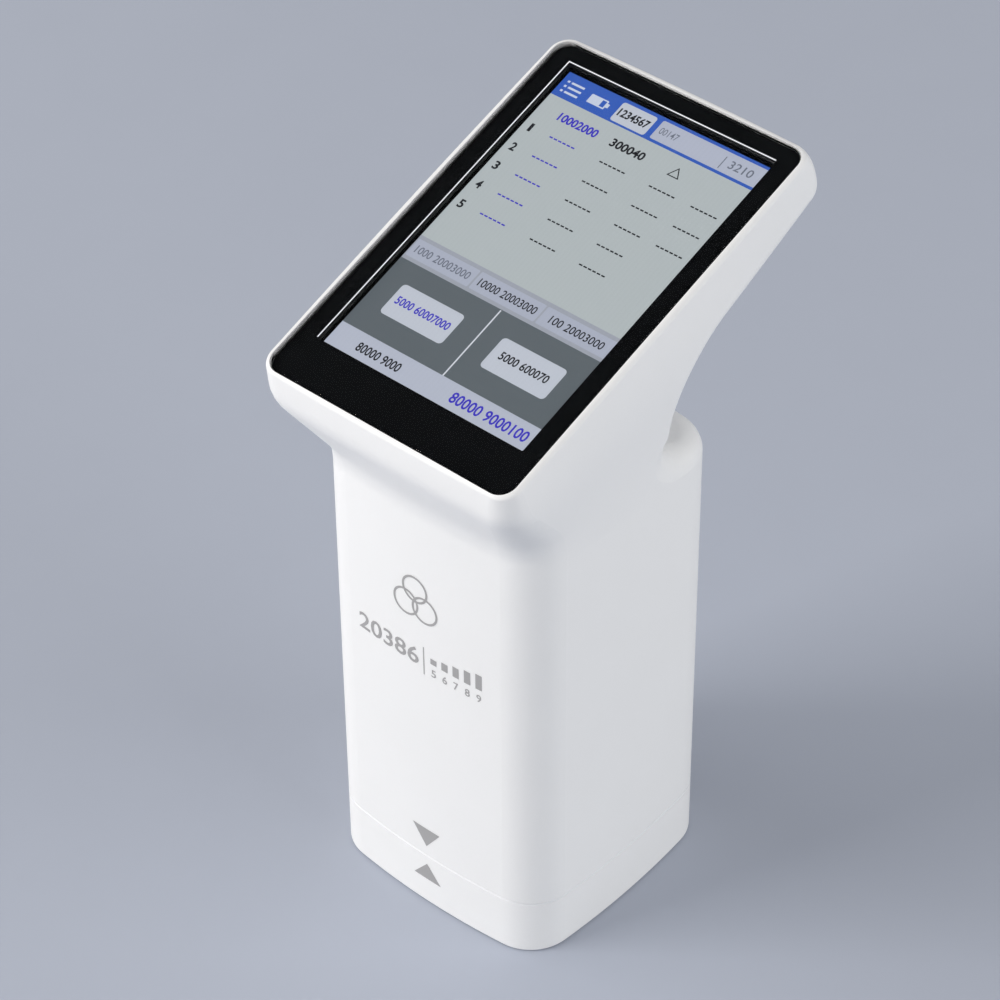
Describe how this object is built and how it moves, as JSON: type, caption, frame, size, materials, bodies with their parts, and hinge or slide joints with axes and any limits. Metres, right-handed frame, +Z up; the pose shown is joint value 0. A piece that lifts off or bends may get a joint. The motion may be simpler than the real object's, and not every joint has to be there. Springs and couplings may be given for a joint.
{
  "type": "benchtop colorimeter",
  "caption": "Upright colour measuring instrument: square column, head leaning back under a touch screen, and a lift-off calibration base that holds a white tile.",
  "frame": {"origin": "centre of the pad's lower face, on the axis of the column", "axes": "+Z up along the column, +X to the right of someone facing the screen, front towards -Y"},
  "size_m": [0.0624, 0.0904, 0.1585],
  "materials": {
    "shell": "white moulded ABS, fine satin grain",
    "cover_plastic": "black moulded plastic",
    "cover_glass": "polished glass with a black printed border",
    "display": "lit display panel",
    "ceramic": "glazed white ceramic",
    "felt": "grey felt",
    "rubber": "black silicone rubber",
    "foam_tape": "black foam tape",
    "magnet": "nickel plated magnet",
    "steel": "zinc plated steel",
    "black_metal": "black anodised aluminium",
    "sphere_white": "matt white diffusing coat",
    "brass": "turned brass",
    "circuit_board": "green solder mask on glass fibre",
    "component": "black moulded components",
    "connector": "cream nylon",
    "lamp": "clear lamp resin",
    "lens_glass": "polished lens",
    "battery_wrap": "grey blue cell wrap",
    "socket_metal": "nickel plated shell",
    "button_plastic": "grey satin plastic",
    "flat_cable": "amber polyimide"
  },
  "bodies": {
    "base": {"calibration_base": "shell", "anti_slip_pad": "rubber", "tile_cushion": "felt", "white_tile": "ceramic", "tile_clamp_ring": "cover_plastic", "base_magnets": "magnet"},
    "instrument": {"main_housing": "shell", "bottom_cover": "cover_plastic", "lcd_frame": "cover_plastic", "chassis": "cover_plastic", "cover_glass": "cover_glass", "lcd_panel": "display", "aperture_gasket": "rubber", "screen_gasket": "foam_tape", "battery_pad": "foam_tape", "instrument_magnets": "magnet", "cover_screws": "steel", "sphere_screws": "steel", "chassis_screws": "steel", "board_screws": "steel", "aperture_ring": "black_metal", "lens_tube": "black_metal", "lower_sphere": "sphere_white", "upper_sphere": "sphere_white", "optics_posts": "brass", "led_ring_board": "circuit_board", "sensor_board": "circuit_board", "main_board": "circuit_board", "board_chips": "component", "colour_sensor": "component", "buzzer": "component", "tact_switch": "component", "board_connectors": "connector", "leds": "lamp", "collecting_lens": "lens_glass", "battery": "battery_wrap", "usb_socket": "socket_metal", "display_cable": "flat_cable"},
    "button": {"measure_button": "button_plastic", "switch_plunger": "component"}
  },
  "joints": [
    {"name": "lift_off", "type": "slide", "parent": "base", "child": "instrument", "axis": [0, 0, 1], "range_m": [0, 0.03]},
    {"name": "button_press", "type": "slide", "parent": "instrument", "child": "button", "axis": [0, -1, 0], "range_m": [0, 0.0008], "stiffness_N_per_m": 600, "springref_m": -0.0005}
  ]
}
